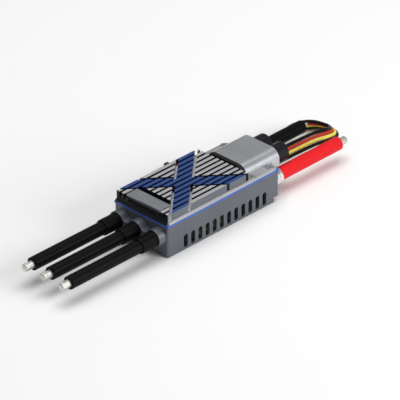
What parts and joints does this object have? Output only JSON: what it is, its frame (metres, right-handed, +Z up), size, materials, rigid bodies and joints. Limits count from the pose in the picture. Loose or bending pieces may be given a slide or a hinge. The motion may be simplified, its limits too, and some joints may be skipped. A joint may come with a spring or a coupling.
{
  "type": "electronic speed controller",
  "caption": "Boxed electronic speed controller with a finned heatsink under a diagonal cross, a capacitor cover, motor leads, battery leads and a ribbon of signal wires.",
  "frame": {"origin": "middle of the tray's flat underside", "axes": "+X along the case from the motor leads to the battery leads, +Y across it, away from the positive lead's side, +Z up through the heatsink"},
  "size_m": [0.2116, 0.0553, 0.0238],
  "materials": {
    "case_metal": "satin anodised aluminium",
    "seam_blue": "satin",
    "heatsink_metal": "machined, black in the slots",
    "cross_blue": "blue anodised",
    "plate_metal": "satin",
    "black_plastic": "matte",
    "cover_metal": "satin silver",
    "capacitor_sleeve": "satin",
    "screw_steel": "machined",
    "lead_black": "silicone",
    "lead_red": "silicone",
    "tinned": "tinned strand",
    "sleeve_black": "heat-shrunk",
    "ferrule_metal": "turned",
    "copper": "bare copper",
    "board_green": "solder mask",
    "chip_black": "moulded",
    "pad_grey": "soft",
    "ceramic_tan": "fired",
    "lamp": "clear",
    "grommet_rubber": "soft",
    "wire_black": "silicone",
    "wire_red": "silicone",
    "wire_yellow": "silicone",
    "wire_brown": "silicone",
    "tie_nylon": "nylon",
    "brass_pin": "plated"
  },
  "bodies": {
    "root": {"lower_case": "case_metal", "seam_gasket": "seam_blue", "heatsink": "heatsink_metal", "cross_bar": "cross_blue", "cross_bar_halves": "cross_blue", "name_plate": "plate_metal", "plate_base": "black_plastic", "capacitor_cover": "cover_metal", "capacitor_bezel": "black_plastic", "capacitor_near": "capacitor_sleeve", "capacitor_far": "capacitor_sleeve", "capacitor_board": "board_green", "flange_screws": "screw_steel", "case_screws": "screw_steel", "motor_lead_near": "lead_black", "motor_lead_middle": "lead_black", "motor_lead_far": "lead_black", "motor_tip_near": "tinned", "motor_tip_middle": "tinned", "motor_tip_far": "tinned", "lead_sleeve_near": "sleeve_black", "lead_sleeve_middle": "sleeve_black", "lead_sleeve_far": "sleeve_black", "motor_lead_cores": "copper", "positive_lead": "lead_red", "negative_lead": "lead_black", "positive_tip": "tinned", "negative_tip": "tinned", "positive_ferrule": "ferrule_metal", "negative_ferrule": "ferrule_metal", "battery_lead_cores": "copper", "power_board": "board_green", "mosfets": "chip_black", "heat_spreader": "copper", "thermal_pad": "pad_grey", "phase_bars": "copper", "supply_bars": "copper", "current_shunt": "copper", "ceramic_capacitors": "ceramic_tan", "control_board": "board_green", "microcontroller": "chip_black", "gate_drivers": "chip_black", "board_link": "chip_black", "status_lamp": "lamp", "board_spacers": "brass_pin", "board_screws": "screw_steel", "insulating_sheet": "pad_grey", "signal_wire_upper": "wire_black", "signal_wire_red": "wire_red", "signal_wire_yellow": "wire_yellow", "signal_wire_lower": "wire_brown", "signal_hank": "wire_black", "cable_tie": "tie_nylon", "signal_plug": "black_plastic", "plug_contacts": "brass_pin", "signal_grommet": "grommet_rubber", "signal_header": "chip_black"}
  },
  "joints": []
}
